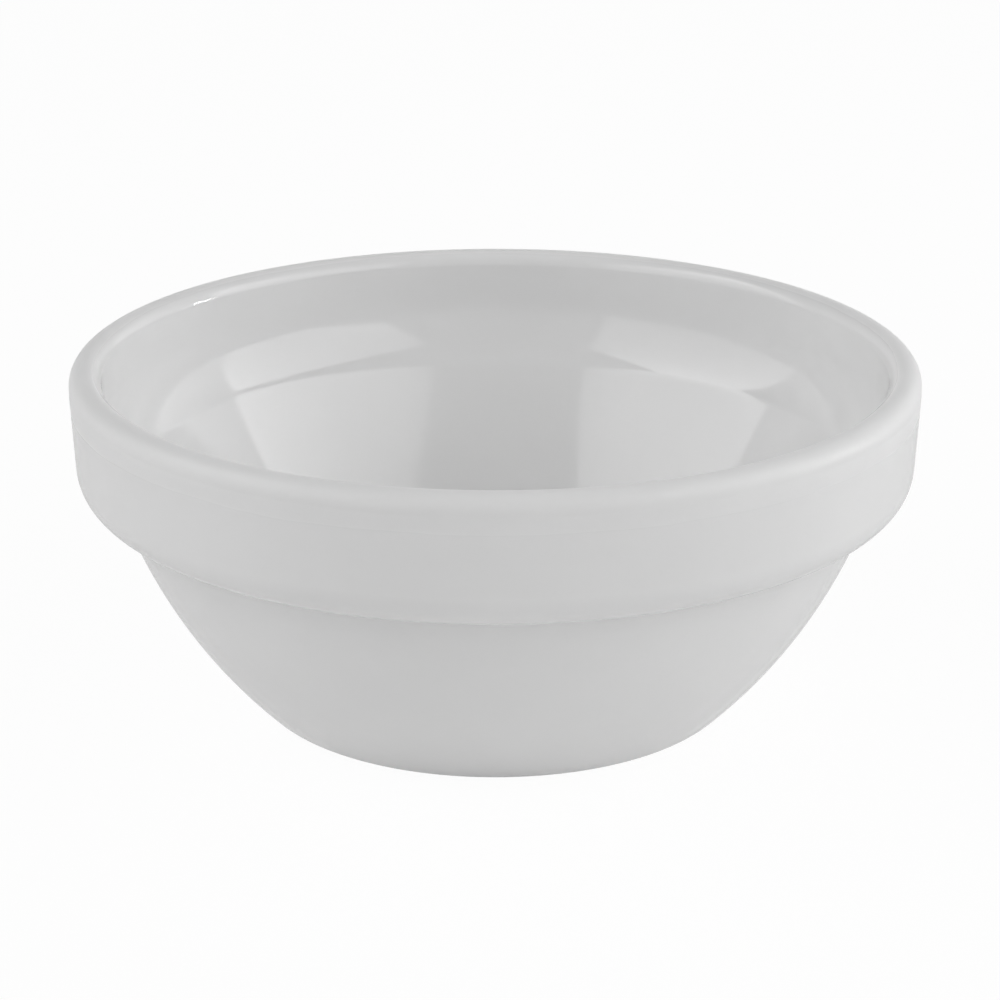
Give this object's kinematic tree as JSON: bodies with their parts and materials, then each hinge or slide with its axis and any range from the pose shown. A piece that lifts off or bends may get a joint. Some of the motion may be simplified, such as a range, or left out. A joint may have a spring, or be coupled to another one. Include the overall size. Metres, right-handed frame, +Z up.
{
  "type": "dip cup",
  "caption": "Round white plastic dip cup with a rounded lip, a tall stepped stacking collar and a bowl that tapers to a foot ring, for one portion of sauce or dip.",
  "frame": {"origin": "centre of the foot ring, on the cup's axis, at the height of the table it stands on", "axes": "+Z up along the cup's axis; X and Y are alike, because the cup is round"},
  "size_m": [0.08, 0.08, 0.0334],
  "materials": {
    "white_melamine": "glossy moulded, white"
  },
  "bodies": {
    "root": {"cup": "white_melamine"}
  },
  "joints": []
}
